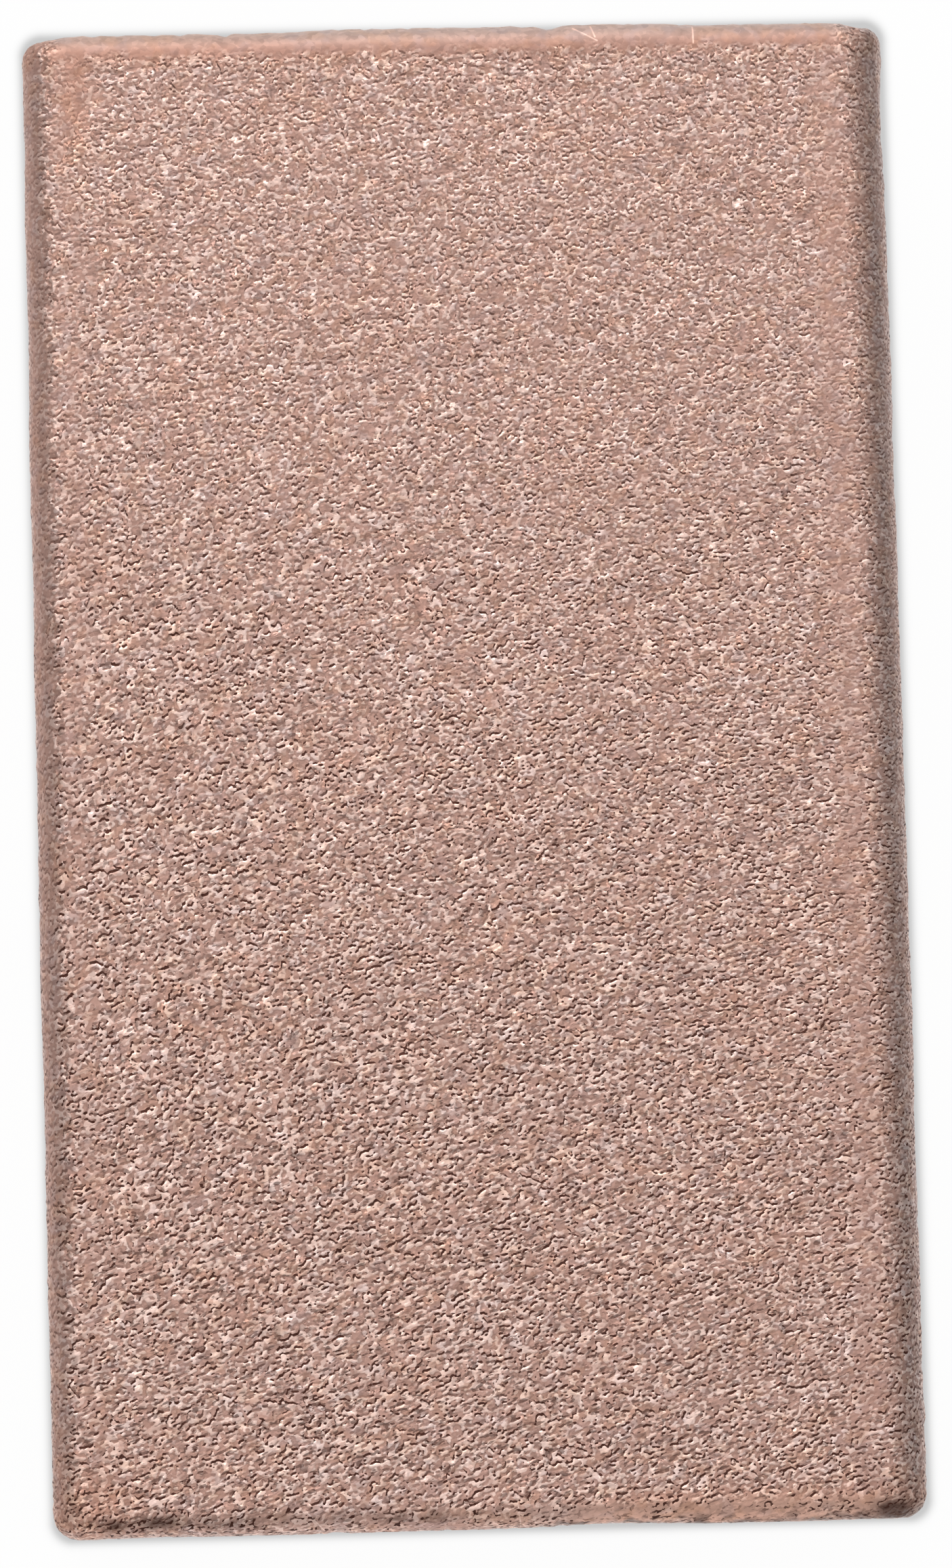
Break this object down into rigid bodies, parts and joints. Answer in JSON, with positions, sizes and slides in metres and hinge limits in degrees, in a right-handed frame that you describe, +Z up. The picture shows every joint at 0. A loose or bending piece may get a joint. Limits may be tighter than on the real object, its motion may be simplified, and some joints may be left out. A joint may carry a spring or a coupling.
{
  "type": "copper ingot",
  "caption": "Small flat copper ingot with rounded long edges, rolled lips at its cut ends and a coarse pebbled skin, for melting, casting or stacking as stock.",
  "frame": {"origin": "centre of the broad face that the ingot rests on", "axes": "+X across the ingot, +Y along it, +Z up through its thickness, towards the face that the picture shows"},
  "size_m": [0.044, 0.0762, 0.0152],
  "materials": {
    "copper": "matt, coarse pebbled bare copper"
  },
  "bodies": {
    "root": {"ingot": "copper"}
  },
  "joints": []
}
